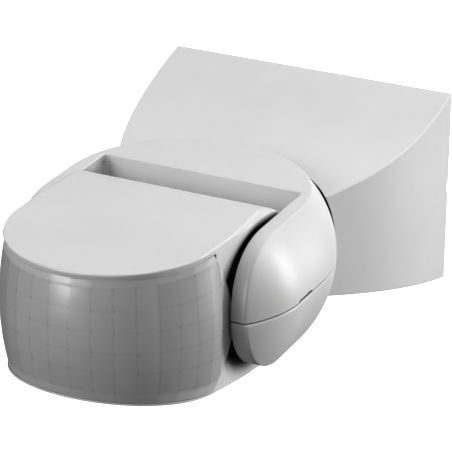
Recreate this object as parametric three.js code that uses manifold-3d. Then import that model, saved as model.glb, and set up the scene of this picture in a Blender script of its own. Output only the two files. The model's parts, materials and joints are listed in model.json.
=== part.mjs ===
// Wall-mounted 180 degree PIR motion sensor: a flared wall base, a two-arm yoke that pans in the
// base's cradle, and a sensing head with a barrel-shaped Fresnel lens that tilts between the arms.
// Millimetres. +X is sideways, +Y runs into the wall, +Z is up. The origin is the centre of the
// wall face. The yoke is drawn about its pan axis and the head about its tilt axis.
import * as THREE from "three";
import { mergeVertices } from "three/addons/utils/BufferGeometryUtils.js";
import Module from "manifold-3d";

const wasm = await Module();
wasm.setup();

// ---- Driving dimensions -------------------------------------------------------------------------
const BASE_WIDTH = 80; // across the wall face
const BASE_HEIGHT = 52.8; // up the wall face
const PIVOT_Z = 3.8; // height of the yoke's seam and of the tilt axis
const PAN_Y = -74.4; // vertical axis that the yoke turns about
const TILT_Y = -12.2; // tilt axis, ahead of the pan axis
const WALL = 2.2; // base wall thickness
const SHELL = 2; // yoke and head wall thickness
const GAP = 0.3; // between touching pieces
const RUN = 0.25; // radial clearance of a turning fit

// Base outline: sides curve in from FLARE_START, the top falls along an arc, the bottom is a plane.
const FLARE_START = -3;
const FLARE_RADIUS = 118;
const TOP_RADIUS = 217; // concave top, a straight slope behind TOP_ARC_START
const TOP_ARC_START = -9;
const TOP_SLOPE = 0.27;
const TOP_LEVEL_Y = -67.5; // where the arc would run level
const BOTTOM_SLOPE = 0.3;
const BASE_REACH = -58; // further forward than the cradle's tips
const RIM_WALL = 1.2; // thinner wall round the rear opening, which leaves a ledge for the seal
const RIM_DEPTH = 3.6;

// Yoke: a barrel, flat above and below, with two arms either side of a pocket.
const YOKE_HALF = 17.1; // half the height
const YOKE_EDGE_R = 30.9; // radius at the flat faces
const YOKE_MID_R = 37.4; // radius at the seam
const ARM_INNER = 27.1; // inner face of each arm
const POCKET_REAR = 9.8; // rear wall of the pocket
const CRADLE_GAP = 0.7;
const PAN_LIMIT = THREE.MathUtils.degToRad(20);
const STUB_R = 5; // hollow stub that joins base and yoke
const STUB_BORE = 3;

// Head, about the tilt axis.
const HEAD_R = 25.4; // front radius, and half width beside its centre
const HEAD_AXIS_Y = -22.2; // centre of the front radius
const HEAD_FLARE = 0.045; // the cheeks spread a little towards the rear
const HEAD_MAX_FLARE_Y = 22; // length over which they spread
const HEAD_REAR_R = 19.8; // the rear is round about the tilt axis
const HEAD_TOP = 19.6;
const HEAD_BOTTOM = -17; // under the centre of the front radius
const COVER_REAR = 4;
const RECESS_R = 18.8; // round recess in each cheek
const RECESS_Y = -0.8;
const RECESS_Z = -0.7;
const RECESS_FLOOR = 23;
const DUST_RING_R = 17.3; // black ring that fills the floor of each cheek recess
const PIVOT_R = 4.5; // hollow tilt pivots
const PIVOT_BORE = 2.7;
const HUB_R = 7;
const HUB_FACE = 26.2;
const LENS_SEAT = 23.1; // outside radius of the wall behind the lens's edges
const LENS_EDGE_R = 25; // outside radius of the lens along its top and bottom edges
const LENS_MID_R = 27.1;
const LENS_WALL = 1.1;
const LENS_REACH = 5.2; // the lens runs on past the centre, outside the cheeks
const TOP_RIM = 1.8; // thickness of the head above the lens
const BOTTOM_RIM = 1.2;
const LEAD_R = 1.2;
const BOARD_TOP = -5.4;
const BOARD = 1.6;
const KNOB_X = 9;
const KNOB_Y = -12;

// ---- Materials ----------------------------------------------------------------------------------
const finish = (color, roughness, metalness = 0) =>
  new THREE.MeshStandardMaterial({ color, roughness, metalness });
const housingPlastic = finish(0xdcdcdc, 0.45);
const lensPlastic = finish(0x8f8f8f, 0.25);
const innerPlastic = finish(0xe8e6df, 0.6);
const blackPlastic = finish(0x1c1c1e, 0.5);
const bluePlastic = finish(0x2f5f9e, 0.45);
const rubber = finish(0x2a2a2a, 0.85);
const steel = finish(0xb9bcc0, 0.35, 1);
const brass = finish(0xc9a24d, 0.35, 1);
const circuit = finish(0x1f6b3a, 0.5);
const redLamp = finish(0xc8372d, 0.3);
const cream = finish(0xd9c9a3, 0.7);

// ---- Solids from three.js geometry --------------------------------------------------------------
function toSolid(geometry) {
  const bare = geometry.clone();
  bare.deleteAttribute("normal");
  bare.deleteAttribute("uv");
  const merged = mergeVertices(bare, 1e-4);
  const corners = [...(merged.index ?? { array: [] }).array];
  const triangles = [];
  for (let i = 0; i < corners.length; i += 3) {
    const [a, b, c] = corners.slice(i, i + 3);
    if (a !== b && b !== c && a !== c) triangles.push(a, b, c);
  }
  const build = (order) =>
    new wasm.Manifold(
      new wasm.Mesh({
        numProp: 3,
        vertProperties: Float32Array.from(merged.attributes.position.array),
        triVerts: Uint32Array.from(order),
      }),
    );
  const made = build(triangles);
  return made.volume() < 0 ? build(triangles.reverse()) : made;
}

function toGeometry(solid) {
  const mesh = solid.getMesh();
  const geometry = new THREE.BufferGeometry();
  geometry.setAttribute("position", new THREE.BufferAttribute(Float32Array.from(mesh.vertProperties), 3));
  geometry.setIndex(new THREE.BufferAttribute(Uint32Array.from(mesh.triVerts), 1));
  geometry.computeVertexNormals();
  return geometry;
}

const unite = (...solids) => solids.reduce((sum, next) => sum.add(next));
const cut = (body, ...tools) => tools.reduce((rest, tool) => rest.subtract(tool), body);

function block(x0, x1, y0, y1, z0, z1) {
  const box = new THREE.BoxGeometry(x1 - x0, y1 - y0, z1 - z0);
  return toSolid(box.translate((x0 + x1) / 2, (y0 + y1) / 2, (z0 + z1) / 2));
}

// A cylinder along the axis named, from one coordinate to another, centred on the other two.
function rod(axis, radius, from, to, u = 0, v = 0, sides = 16) {
  const tube = new THREE.CylinderGeometry(radius, radius, to - from, sides);
  const middle = (from + to) / 2;
  if (axis === "x") return toSolid(tube.rotateZ(-Math.PI / 2).translate(middle, u, v));
  if (axis === "y") return toSolid(tube.translate(u, middle, v));
  return toSolid(tube.rotateX(Math.PI / 2).translate(u, v, middle));
}

// A shape drawn in the plane across the axis named, drawn out from one coordinate to another.
function prism(axis, points, from, to) {
  const shape = new THREE.Shape(points.map(([u, v]) => new THREE.Vector2(u, v)));
  const drawn = new THREE.ExtrudeGeometry(shape, { depth: to - from, bevelEnabled: false });
  if (axis === "x") {
    // (u, v, depth) becomes (y, z, x)
    const turn = new THREE.Matrix4().set(0, 0, 1, from, 1, 0, 0, 0, 0, 1, 0, 0, 0, 0, 0, 1);
    return toSolid(drawn.applyMatrix4(turn));
  }
  if (axis === "y") return toSolid(drawn.rotateX(Math.PI / 2).translate(0, to, 0));
  return toSolid(drawn.translate(0, 0, from));
}

// A profile of [radius, height] turned about the vertical axis, or about the sideways axis.
function turned(axis, profile, sides) {
  const points = profile.map(([r, h]) => new THREE.Vector2(r, h));
  const lathe = new THREE.LatheGeometry(points, sides);
  return toSolid(axis === "x" ? lathe.rotateZ(-Math.PI / 2) : lathe.rotateX(Math.PI / 2));
}

function wire(points, radius, steps) {
  const path = new THREE.CatmullRomCurve3(points.map((p) => new THREE.Vector3(...p)));
  const ring = new THREE.Shape().absarc(0, 0, radius, 0, 2 * Math.PI);
  const tube = new THREE.ExtrudeGeometry(ring, { steps, curveSegments: 4, extrudePath: path });
  return toSolid(tube);
}

const steps = (from, to, count) =>
  Array.from({ length: count + 1 }, (_, i) => from + ((to - from) * i) / count);

const mirrored = (points) => [...points, ...points.map(([u, v]) => [-u, v]).reverse()];

// ---- Base ---------------------------------------------------------------------------------------
const baseHalfWidth = (y) => {
  const ahead = Math.max(0, FLARE_START - y);
  return BASE_WIDTH / 2 - FLARE_RADIUS + Math.sqrt(FLARE_RADIUS ** 2 - ahead ** 2);
};
const topArc = (y) => -Math.sqrt(TOP_RADIUS ** 2 - (y - TOP_LEVEL_Y) ** 2);
const baseTop = (y) => {
  const straight = BASE_HEIGHT / 2 + TOP_SLOPE * Math.max(y, TOP_ARC_START);
  return y < TOP_ARC_START ? straight + topArc(y) - topArc(TOP_ARC_START) : straight;
};
const baseBottom = (y) => -BASE_HEIGHT / 2 - BOTTOM_SLOPE * y;

// The base's outer form, drawn in by a wall thickness, from the front to the plane y = rear.
function baseForm(inset, rear) {
  const stations = steps(BASE_REACH, 0, 10);
  const edge = stations.map((y) => [baseHalfWidth(y) - inset, y]);
  const plan = [...edge, [BASE_WIDTH / 2 - inset, rear]];
  const top = stations.map((y) => [y, baseTop(y) - inset]);
  const side = [
    ...top,
    [rear, BASE_HEIGHT / 2 - inset],
    [rear, inset - BASE_HEIGHT / 2],
    [0, baseBottom(0) + inset],
    [BASE_REACH, baseBottom(BASE_REACH) + inset],
  ];
  return prism("z", mirrored(plan), -40, 40).intersect(prism("x", tidy(side), -45, 45));
}

// Drops points that repeat the one before.
const tidy = (points) =>
  points.filter(([u, v], i) => {
    const [pu, pv] = points[(i + points.length - 1) % points.length];
    return Math.hypot(u - pu, v - pv) > 1e-6;
  });

// Half section of the yoke's barrel: flat faces with a circular bulge between them.
function barrelSection(edgeR, midR, half, count = 8) {
  const bulge = (half ** 2 + (midR - edgeR) ** 2) / (2 * (midR - edgeR));
  return steps(-half, half, count).map((z) => [midR - bulge + Math.sqrt(bulge ** 2 - z ** 2), z]);
}

function barrel(growth, sides = 40) {
  const section = barrelSection(YOKE_EDGE_R + growth, YOKE_MID_R + growth, YOKE_HALF + growth);
  const half = YOKE_HALF + growth;
  return turned("z", [[0, -half], ...section, [0, half]], sides);
}

const atPan = (solid) => solid.translate(0, PAN_Y, PIVOT_Z);

const COVER_SCREW_X = 29;
const COVER_SCREW_Y = -8;
const LUG_Z = -18.4; // underside of the wall plate's screw lugs

function baseHousing() {
  const outside = cut(baseForm(0, 0), atPan(barrel(CRADLE_GAP)));
  const hollow = cut(baseForm(WALL, 1), atPan(barrel(CRADLE_GAP + WALL)));
  const rearOpening = cut(baseForm(RIM_WALL, 1), block(-50, 50, -60, -RIM_DEPTH, -40, 40));
  const noseAt = PAN_Y + YOKE_MID_R + CRADLE_GAP;
  const stubPad = rod("y", 9.5, noseAt + 1, noseAt + 4.4, 0, PIVOT_Z, 20);
  const screwPosts = [-1, 1].map((s) =>
    rod("z", 4.2, baseBottom(COVER_SCREW_Y) + 0.8, LUG_Z - GAP, s * COVER_SCREW_X, COVER_SCREW_Y),
  );
  const screwHoles = [-1, 1].flatMap((s) => [
    rod("z", 1.9, -40, 0, s * COVER_SCREW_X, COVER_SCREW_Y),
    rod("z", 3.1, -40, LUG_Z - 2.2, s * COVER_SCREW_X, COVER_SCREW_Y),
  ]);
  const pryNotches = [-1, 1].map((s) => block(s * 40 - 3, s * 40 + 3, -1, 1, -1.5, 1.5));
  const stubHole = rod("y", STUB_R + RUN, -50, 0, 0, PIVOT_Z, 20);
  const shell = cut(outside, hollow, rearOpening);
  return cut(unite(shell, stubPad, ...screwPosts), stubHole, ...screwHoles, ...pryNotches);
}

const PLATE = 2.4;
const PLATE_HALF_X = BASE_WIDTH / 2 - RIM_WALL - GAP;
const PLATE_HALF_Z = BASE_HEIGHT / 2 - RIM_WALL - 1.2;
const GROMMET_Z = -12;
const GROMMET_HOLE = 7.5;
const SLOT_X = 26;
const SLOT_Z = 4;

// A slot through the plate, longer sideways or upwards.
function slotCut(x, z, radius, length, upright) {
  const half = length / 2 - radius;
  const [dx, dz] = upright ? [0, half] : [half, 0];
  return unite(
    rod("y", radius, -9, 3, x - dx, z - dz, 16),
    rod("y", radius, -9, 3, x + dx, z + dz, 16),
    block(x - dx - (upright ? radius : 0), x + dx + (upright ? radius : 0), -9, 3,
      z - dz - (upright ? 0 : radius), z + dz + (upright ? 0 : radius)),
  );
}

function wallPlate() {
  const sheet = block(-PLATE_HALF_X, PLATE_HALF_X, -PLATE, 0, -PLATE_HALF_Z, PLATE_HALF_Z);
  const lugs = [-1, 1].map((s) => {
    const x = s * COVER_SCREW_X;
    return block(x - 4.5, x + 4.5, COVER_SCREW_Y - 4, -PLATE + 0.2, LUG_Z, LUG_Z + 8);
  });
  const lugHoles = [-1, 1].map((s) =>
    rod("z", 1.35, LUG_Z - 1, LUG_Z + 7, s * COVER_SCREW_X, COVER_SCREW_Y, 16),
  );
  const slotRims = [
    block(-SLOT_X - 7, -SLOT_X + 7, -4, -PLATE + 0.2, SLOT_Z - 5, SLOT_Z + 5),
    block(SLOT_X - 5, SLOT_X + 5, -4, -PLATE + 0.2, SLOT_Z - 7, SLOT_Z + 7),
  ];
  return cut(
    unite(sheet, ...lugs, ...slotRims),
    ...lugHoles,
    slotCut(-SLOT_X, SLOT_Z, 2.3, 10, false),
    slotCut(SLOT_X, SLOT_Z, 2.3, 10, true),
    rod("y", GROMMET_HOLE, -9, 3, 0, GROMMET_Z, 20),
  );
}

function plateSeal() {
  const [x, z] = [PLATE_HALF_X - 0.2, PLATE_HALF_Z - 0.2];
  const frame = block(-x, x, -RIM_DEPTH + 0.1, -PLATE - 0.1, -z, z);
  return cut(frame, block(2 - x, x - 2, -9, 0, 2 - z, z - 2));
}

// Rubber grommet with a flange each side of the plate and a neck through it.
function cableGrommet() {
  const neck = rod("y", GROMMET_HOLE - 0.2, -5.4, -0.2, 0, GROMMET_Z, 20);
  const flange = rod("y", GROMMET_HOLE + 1.6, -3.9, -PLATE - 0.1, 0, GROMMET_Z, 20);
  return cut(unite(neck, flange), rod("y", 4, -9, 3, 0, GROMMET_Z, 24));
}

const TERMINAL_PITCH = 8;
const TERMINAL_Z = 13;
const TERMINAL_FRONT = -13.4;

function terminalBlock() {
  const body = block(-13, 13, TERMINAL_FRONT + 3, -PLATE - 0.1, TERMINAL_Z - 6, TERMINAL_Z + 5);
  const towers = [-1, 0, 1].map((i) => rod("y", 3.4, TERMINAL_FRONT, -6, i * TERMINAL_PITCH, TERMINAL_Z, 20));
  const wells = [-1, 0, 1].map((i) => rod("y", 2.3, -40, -7.5, i * TERMINAL_PITCH, TERMINAL_Z, 20));
  const mouths = [-1, 0, 1].map((i) => rod("z", 1.9, -9, TERMINAL_Z - 3, i * TERMINAL_PITCH, -5.6, 12));
  return cut(unite(body, ...towers), ...wells, ...mouths);
}

// Slotted cheese-head screw pointing into +Y.
function terminalScrew(x) {
  const head = rod("y", 2, TERMINAL_FRONT + 2, -8, x, TERMINAL_Z, 16);
  return cut(head, block(x - 3, x + 3, -20, TERMINAL_FRONT + 2.7, TERMINAL_Z - 0.3, TERMINAL_Z + 0.3));
}

// Pan-head screw pointing up, with a cross recess under its head.
function upwardScrew(x, y, z, headR, headH, shankR, length) {
  const head = rod("z", headR, z, z + headH, x, y, 20);
  const shank = rod("z", shankR, z, z + length, x, y, 12);
  const arm = headR * 0.62;
  return cut(
    unite(head, shank),
    block(x - arm, x + arm, y - 0.3, y + 0.3, z - 1, z + headH * 0.6),
    block(x - 0.3, x + 0.3, y - arm, y + arm, z - 1, z + headH * 0.6),
  );
}

// Hollow stub through the cradle. Its curved plate runs inside the yoke's rear wall.
const SADDLE_IN = 31.6;
const SADDLE_OUT = 33.2;
const SADDLE_HALF = 7.6;
const SADDLE_ANGLE = THREE.MathUtils.degToRad(19);
const STUB_TAIL = -28;

function ringSector(inner, outer, half, angle) {
  const arc = (r, sign) => steps(-angle, angle, 10).map((a) => [sign * r * Math.sin(a), r * Math.cos(a)]);
  return prism("z", [...arc(outer, 1), ...arc(inner, -1)], -half, half);
}

function swivelStub() {
  const saddle = atPan(ringSector(SADDLE_IN, SADDLE_OUT, SADDLE_HALF, SADDLE_ANGLE));
  const tube = rod("y", STUB_R, PAN_Y + SADDLE_IN + 0.8, STUB_TAIL, 0, PIVOT_Z, 20);
  return cut(unite(saddle, tube), rod("y", STUB_BORE, -50, 0, 0, PIVOT_Z, 24));
}

const PAD_FACE = PAN_Y + YOKE_MID_R + CRADLE_GAP + 4.4;
const ringY = (outer, inner, from, to, sides) =>
  cut(rod("y", outer, from, to, 0, PIVOT_Z, sides), rod("y", inner, -60, 5, 0, PIVOT_Z, 20));

function baseLead() {
  return wire(
    [
      [5, -7.6, 5.6],
      [5.2, -8.4, 1.5],
      [4.4, -12.5, -2.2],
      [2.2, -18.5, -0.6],
      [0.4, -25, 3],
      [0, -30, PIVOT_Z],
      [0, -38, PIVOT_Z],
      [0, PAN_Y + SADDLE_IN - 2, PIVOT_Z],
    ],
    LEAD_R,
    18,
  );
}

// ---- Yoke, about the pan axis -------------------------------------------------------------------
function yokeForm(inset) {
  const half = YOKE_HALF - inset;
  const section = barrelSection(YOKE_EDGE_R - inset, YOKE_MID_R - inset, half);
  const rear = turned("z", [[0, -half], ...section, [0, half]], 40);
  const straight = prism("y", mirrored(section), TILT_Y, 0);
  const dome = section.filter(([, z]) => z >= -1e-9).map(([x, z]) => [z, x]);
  const cap = turned("x", [...dome, [half, ARM_INNER - 6], [0, ARM_INNER - 6]], 32).translate(0, TILT_Y, 0);
  const far = cap.mirror([1, 0, 0]);
  const pocket = block(-ARM_INNER - inset, ARM_INNER + inset, -80, POCKET_REAR + inset, -30, 30);
  return cut(unite(rear, straight, cap, far), pocket);
}

const YOKE_SCREW_X = 11;
const YOKE_SCREW_Y = 21;
const SNAP_Y = -2;

function yokeBody() {
  const slotAngle = PAN_LIMIT + Math.asin((STUB_R + 1) / SADDLE_OUT);
  return cut(
    yokeForm(0),
    yokeForm(SHELL),
    ringSector(30, 42, STUB_R + 0.5, slotAngle),
    rod("x", PIVOT_R + RUN, -ARM_INNER - 4, ARM_INNER + 4, TILT_Y, 0, 20),
  );
}

const bothSides = (make) => [-1, 1].map(make);

function yokeUpper(body) {
  const posts = bothSides((s) => rod("z", 3, GAP / 2, YOKE_HALF - 1, s * YOKE_SCREW_X, YOKE_SCREW_Y));
  const pilots = bothSides((s) => rod("z", 1.2, -1, 10, s * YOKE_SCREW_X, YOKE_SCREW_Y, 12));
  const above = block(-60, 60, -60, 60, 0.05, 40);
  const prySlots = bothSides((s) => block(s * 37 - 1.6, s * 37 + 1.6, TILT_Y - 1.2, TILT_Y + 5.8, -1, 0.7));
  return cut(unite(body.intersect(above), ...posts), ...pilots, ...prySlots);
}

function yokeLower(body) {
  const posts = bothSides((s) => rod("z", 4.1, 1 - YOKE_HALF, -GAP / 2, s * YOKE_SCREW_X, YOKE_SCREW_Y));
  const holes = bothSides((s) =>
    unite(
      rod("z", 1.8, -30, 5, s * YOKE_SCREW_X, YOKE_SCREW_Y, 16),
      rod("z", 2.9, -30, -6, s * YOKE_SCREW_X, YOKE_SCREW_Y, 20),
    ),
  );
  // Snap tongues that stand up inside the upper shell's arms.
  const tongues = bothSides((s) => block(s * 33.9 - 0.6, s * 33.9 + 0.6, SNAP_Y - 3, SNAP_Y + 3, -6, 3.5));
  const ribs = bothSides((s) => block(s * 34.6 - 0.9, s * 34.6 + 0.9, SNAP_Y - 3, SNAP_Y + 3, -6, -0.5));
  const below = block(-60, 60, -60, 60, -40, -0.05);
  return cut(unite(body.intersect(below), ...posts, ...tongues, ...ribs), ...holes);
}

function yokeLead() {
  return wire(
    [
      [-33.2, TILT_Y, 0],
      [-33.3, TILT_Y + 1.2, -1.6],
      [-32.6, TILT_Y + 4.4, -5.2],
      [-31, -4, -7],
      [-31.2, 4, -6],
      [-31.3, 9, -3.5],
      [-30.9, 12.5, -2],
      [-28.2, 16.2, -1],
      [-22, 16.5, 0],
      [-13, 14.2, 0],
      [-6, 14.5, 0],
    ],
    LEAD_R,
    26,
  );
}

// ---- Head, about the tilt axis ------------------------------------------------------------------
const headBottom = (y) => {
  const back = y - HEAD_AXIS_Y;
  return HEAD_BOTTOM - 0.17 * back + 0.00115 * back ** 2;
};
function headHalfWidth(y) {
  const behind = Math.max(0, y - HEAD_AXIS_Y);
  return HEAD_R + HEAD_FLARE * Math.min(HEAD_MAX_FLARE_Y, behind);
}

const HEAD_FRONT = HEAD_AXIS_Y - HEAD_R - 3;

const arcPoints = (radius, from, to, count) =>
  steps(from, to, count)
    .map((a) => THREE.MathUtils.degToRad(a))
    .map((a) => [radius * Math.cos(a), radius * Math.sin(a)]);

// Side view of the head: sloping underside, round rear, level top.
function headSide() {
  const under = steps(HEAD_FRONT, -1.5, 9).map((y) => [y, headBottom(y)]);
  return [...under, ...arcPoints(HEAD_REAR_R, -84, 81, 16), [HEAD_FRONT, HEAD_TOP]];
}

// Side view of the room inside. Ahead of COVER_REAR it is open underneath.
function roomSide(inset) {
  const radius = HEAD_REAR_R - SHELL - inset;
  const rear = COVER_REAR - inset;
  const meet = THREE.MathUtils.radToDeg(Math.asin(-Math.sqrt(radius ** 2 - rear ** 2) / radius));
  const top = HEAD_TOP - 1.8;
  return [[HEAD_FRONT, -30], [rear, -30], ...arcPoints(radius, meet, 83, 14), [HEAD_FRONT, top]];
}

// A band that follows the underside, from one depth to another.
function underBand(from, to, rear) {
  const stations = steps(HEAD_FRONT, rear, 9);
  const low = stations.map((y) => [y, headBottom(y) + from]);
  return prism("x", [...low, [rear, to], [HEAD_FRONT, to]], -40, 40);
}

// Plan view of the head: a round front and sides that spread slightly.
function headPlan(frontR, inset, rear = HEAD_REAR_R + 1) {
  const arc = steps(90, 0, 14)
    .map((a) => THREE.MathUtils.degToRad(a))
    .map((a) => [frontR * Math.sin(a), HEAD_AXIS_Y - frontR * Math.cos(a)]);
  const corners = [rear, HEAD_AXIS_Y + HEAD_MAX_FLARE_Y, HEAD_AXIS_Y];
  const side = corners.map((y) => [headHalfWidth(y) - inset, y]);
  return tidy(mirrored([...side, ...arc]));
}

const bothDiscs = (radius, from, to, y = 0, z = 0, sides = 28) =>
  unite(rod("x", radius, from, to, y, z, sides), rod("x", radius, -to, -from, y, z, sides));

function headRoom(inset) {
  const plan = prism("z", headPlan(LENS_SEAT - 1.2 - inset, SHELL + inset), -30, 30);
  const cups = bothDiscs(RECESS_R + 1.8 + inset, RECESS_FLOOR - 1.8 - inset, 40, RECESS_Y, RECESS_Z);
  return cut(plan.intersect(prism("x", roomSide(inset), -40, 40)), cups);
}

// Screw posts: sideways, forward and upper end. The rear pair stays below the pivots.
const HEAD_POSTS = [
  [16.4, 0.2, -9],
  [19.2, -19.8, HEAD_TOP - 1],
];
const headPosts = HEAD_POSTS.flatMap(([x, y, top]) => [
  [-x, y, top],
  [x, y, top],
]);
const COVER = 2;
const LENS_BACK = HEAD_AXIS_Y - 0.9; // the lens's upper and lower edges stop against the cheeks here

function headShell() {
  const outside = prism("z", headPlan(HEAD_R, 0), -40, 40).intersect(prism("x", headSide(), -40, 40));
  const ahead = (y) => block(-40, 40, -80, y, -40, 40);
  const lensZone = cut(
    underBand(BOTTOM_RIM, HEAD_TOP - TOP_RIM, 10).intersect(ahead(LENS_BACK + GAP)),
    rod("z", LENS_SEAT, -40, 40, 0, HEAD_AXIS_Y, 40),
  );
  const window = underBand(BOTTOM_RIM + 2, HEAD_TOP - TOP_RIM - 1.4, 10).intersect(ahead(HEAD_AXIS_Y - 3.5));
  const recess = bothDiscs(RECESS_R, RECESS_FLOOR, 40, RECESS_Y, RECESS_Z, 36);
  const underPlate = block(-40, 40, -60, 40, -60, HEAD_TOP - 2);
  const hubs = bothDiscs(HUB_R, RECESS_FLOOR - 1, HUB_FACE);
  const posts = headPosts.map(([x, y, top]) => rod("z", 2.4, headBottom(y) + COVER + 1, top, x, y, 16));
  const [rearX, rearY, rearTop] = HEAD_POSTS[0];
  const ribs = bothSides((s) => {
    const floor = headBottom(rearY) + COVER + 3;
    return block(s * rearX - 1, s * rearX + 1, rearY, 17, floor, rearTop).intersect(outside);
  });
  const pilots = headPosts.map(([x, y]) => rod("z", 1, -40, headBottom(y) + 11, x, y, 10));
  const hollow = cut(outside, headRoom(0), lensZone, recess.intersect(underPlate));
  return cut(unite(hollow, hubs, ...posts, ...ribs), window, ...pilots, bothDiscs(PIVOT_R + 0.1, 20, 40));
}

function headCover() {
  const plate = cut(underBand(0, 0, 10), underBand(COVER, 1, 11)).intersect(headRoom(GAP));
  const knobWells = bothSides((s) => rod("z", 4.4, -40, 0, s * KNOB_X, KNOB_Y, 20));
  const screwHoles = headPosts.flatMap(([x, y]) => [
    rod("z", 1.4, -40, 0, x, y, 12),
    rod("z", 2.5, -40, headBottom(y) + 1.3, x, y),
  ]);
  return cut(plate, ...knobWells, ...screwHoles);
}

// Lens: a thin barrel between the head's rims, bulging most at half its own height. Its edges stop
// against the cheeks, and its bulge runs on a little way outside them.
function lensBody() {
  const rows = 6;
  const columns = 28;
  const sweep = THREE.MathUtils.degToRad(104);
  const top = HEAD_TOP - TOP_RIM - 0.15;
  const positions = [];
  for (let c = 0; c <= columns; c += 1) {
    const angle = sweep * ((2 * c) / columns - 1);
    const low = headBottom(HEAD_AXIS_Y - LENS_EDGE_R * Math.cos(angle)) + BOTTOM_RIM + 0.2;
    for (const outer of [true, false]) {
      for (let r = 0; r <= rows; r += 1) {
        const t = outer ? r / rows : 1 - r / rows;
        const bulge = (LENS_MID_R - LENS_EDGE_R) * (1 - (2 * t - 1) ** 2);
        const radius = LENS_EDGE_R + bulge - (outer ? 0 : LENS_WALL);
        positions.push(radius * Math.sin(angle), HEAD_AXIS_Y - radius * Math.cos(angle), low + (top - low) * t);
      }
    }
  }
  const grid = new THREE.BufferGeometry();
  grid.setAttribute("position", new THREE.Float32BufferAttribute(positions, 3));
  grid.setIndex(ribbonFaces(rows, columns));
  const spread = HEAD_R + 0.2;
  const between = block(-spread, spread, LENS_BACK, HEAD_AXIS_Y + 1, -40, 40);
  const cheeks = prism("z", headPlan(HEAD_R - 8, -0.2), -40, 40);
  return cut(toSolid(grid), between, cheeks, block(-40, 40, HEAD_AXIS_Y + LENS_REACH, 60, -40, 40));
}

// Triangles of a ribbon of closed rings, each an outer row and an inner row, capped at both ends.
function ribbonFaces(rows, columns) {
  const index = [];
  const ring = 2 * (rows + 1);
  const at = (c, i) => c * ring + (i % ring);
  for (let c = 0; c < columns; c += 1)
    for (let i = 0; i < ring; i += 1)
      index.push(at(c, i), at(c + 1, i), at(c + 1, i + 1), at(c, i), at(c + 1, i + 1), at(c, i + 1));
  for (let r = 0; r < rows; r += 1) {
    const [a, b, c, d] = [r, r + 1, ring - 2 - r, ring - 1 - r];
    index.push(at(0, a), at(0, b), at(0, c), at(0, a), at(0, c), at(0, d));
    index.push(at(columns, a), at(columns, c), at(columns, b), at(columns, a), at(columns, d), at(columns, c));
  }
  return index;
}

// Hollow pivot pressed into the head's hub, carried in the arm's inner wall.
const PIVOT_INNER = 19.4;
const PIVOT_OUTER = 31.4;
const COLLAR_FACE = RECESS_FLOOR - 2.9;
const ringX = (outer, inner, from, to) => cut(rod("x", outer, from, to), rod("x", inner, from - 1, to + 1));

function pivot() {
  const collar = rod("x", 6.4, PIVOT_INNER, COLLAR_FACE);
  return cut(unite(collar, rod("x", PIVOT_R, PIVOT_INNER, PIVOT_OUTER)), rod("x", PIVOT_BORE, 0, 40));
}

function mainBoard() {
  return block(-18.2, 18.2, -17, -2.4, BOARD_TOP - BOARD, BOARD_TOP);
}

function sensorBoard() {
  return block(-11, 11, -20, -18.4, BOARD_TOP - BOARD, 13);
}

// Metal can with a rim, facing -Y, with a well for its window.
function pyroSensor() {
  const can = rod("y", 4.1, -24.3, -20.2, 0, 3.5, 18);
  const rim = rod("y", 4.6, -21, -20.2, 0, 3.5, 18);
  return cut(unite(can, rim), block(-2.4, 2.4, -30, -23.7, 1.6, 5.4));
}

// Adjuster seen from below: a skirted disc with a screwdriver slot and a stem into its potentiometer.
function knob() {
  const face = headBottom(KNOB_Y) + 0.5;
  const disc = rod("z", 3.9, face, BOARD_TOP - BOARD - 4.6, 0, 0, 18);
  const stem = rod("z", 1.5, face, BOARD_TOP - BOARD - 2.4, 0, 0, 16);
  return cut(unite(disc, stem), block(-2.9, 2.9, -0.5, 0.5, face - 1, face + 1.2));
}

function potentiometer(x) {
  const top = BOARD_TOP - BOARD - 0.1;
  const body = block(x - 4.4, x + 4.4, KNOB_Y - 4.4, KNOB_Y + 4.4, top - 4.1, top);
  return cut(body, rod("z", 1.75, -40, BOARD_TOP - BOARD - 2, x, KNOB_Y, 16));
}

function headLead() {
  return wire(
    [
      [-30.8, 0, 0],
      [-26, 0, 0],
      [-20.6, 0, 0],
      [-16.6, 0.6, -1.6],
      [-13.4, 0.9, -5.6],
      [-11.4, -0.6, -9.2],
      [-8, -2.8, -9.6],
    ],
    LEAD_R,
    16,
  );
}

// ---- Assembly -----------------------------------------------------------------------------------
function piece(parent, name, solid, material) {
  const mesh = new THREE.Mesh(toGeometry(solid), material);
  mesh.name = name;
  parent.add(mesh);
  return mesh;
}

function buildBase(base) {
  piece(base, "wall_plate", wallPlate(), housingPlastic);
  piece(base, "base_housing", baseHousing(), housingPlastic);
  piece(base, "plate_seal", plateSeal(), rubber);
  piece(base, "cable_grommet", cableGrommet(), rubber);
  piece(base, "terminal_block", terminalBlock(), innerPlastic);
  [-1, 0, 1].forEach((i) => piece(base, `terminal_screw_${i + 2}`, terminalScrew(i * TERMINAL_PITCH), brass));
  for (const [side, s] of [["left", -1], ["right", 1]]) {
    const screw = upwardScrew(s * COVER_SCREW_X, COVER_SCREW_Y, LUG_Z - 4.2, 2.8, 1.8, 1.25, 9.8);
    piece(base, `cover_screw_${side}`, screw, steel);
  }
  piece(base, "swivel_stub", swivelStub(), blackPlastic);
  piece(base, "swivel_washer", ringY(8.2, STUB_R + 0.2, PAD_FACE + 0.1, PAD_FACE + 0.8, 20), steel);
  piece(base, "swivel_nut", ringY(8.6, STUB_R + 0.2, PAD_FACE + 0.9, PAD_FACE + 4, 6), blackPlastic);
  piece(base, "base_lead", baseLead(), blackPlastic);
}

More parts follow.
